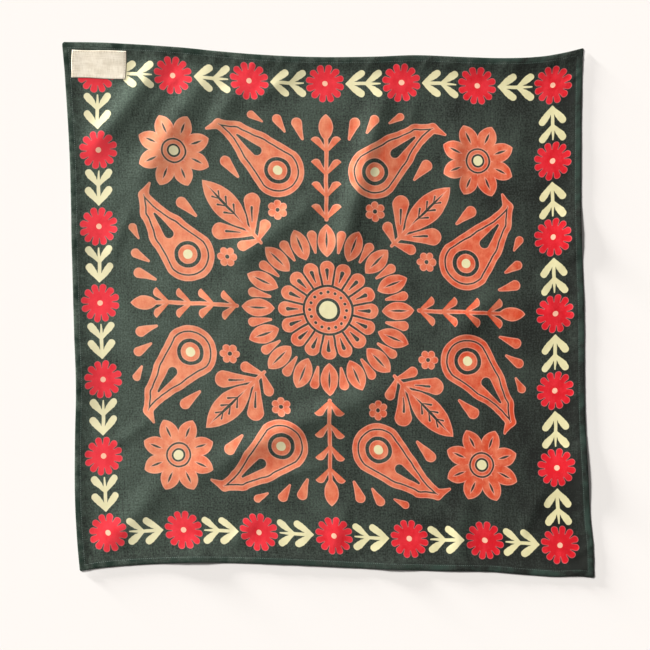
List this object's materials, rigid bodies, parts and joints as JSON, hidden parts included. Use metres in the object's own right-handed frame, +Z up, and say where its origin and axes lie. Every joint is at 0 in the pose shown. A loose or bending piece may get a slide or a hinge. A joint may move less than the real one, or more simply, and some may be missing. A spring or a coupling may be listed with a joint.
{
  "type": "square neck scarf",
  "caption": "Square cotton neck scarf spread face up, hemmed all round, with soft folds, a printed flower border and a blank sewn label in a corner.",
  "frame": {"origin": "on the surface that the scarf lies on, under the middle of its outline", "axes": "+Z up from the surface through the printed face, +Y towards the edge with the label, +X to the right as the print is looked at"},
  "size_m": [0.5586, 0.5622, 0.0048],
  "materials": {
    "printed_cotton": "matt plain-weave cotton, printed dark green with red, cream and terracotta motifs",
    "label_tape": "matt unbleached cotton tape, blank"
  },
  "bodies": {
    "root": {"scarf_cloth": "printed_cotton", "label": "label_tape"}
  },
  "joints": []
}
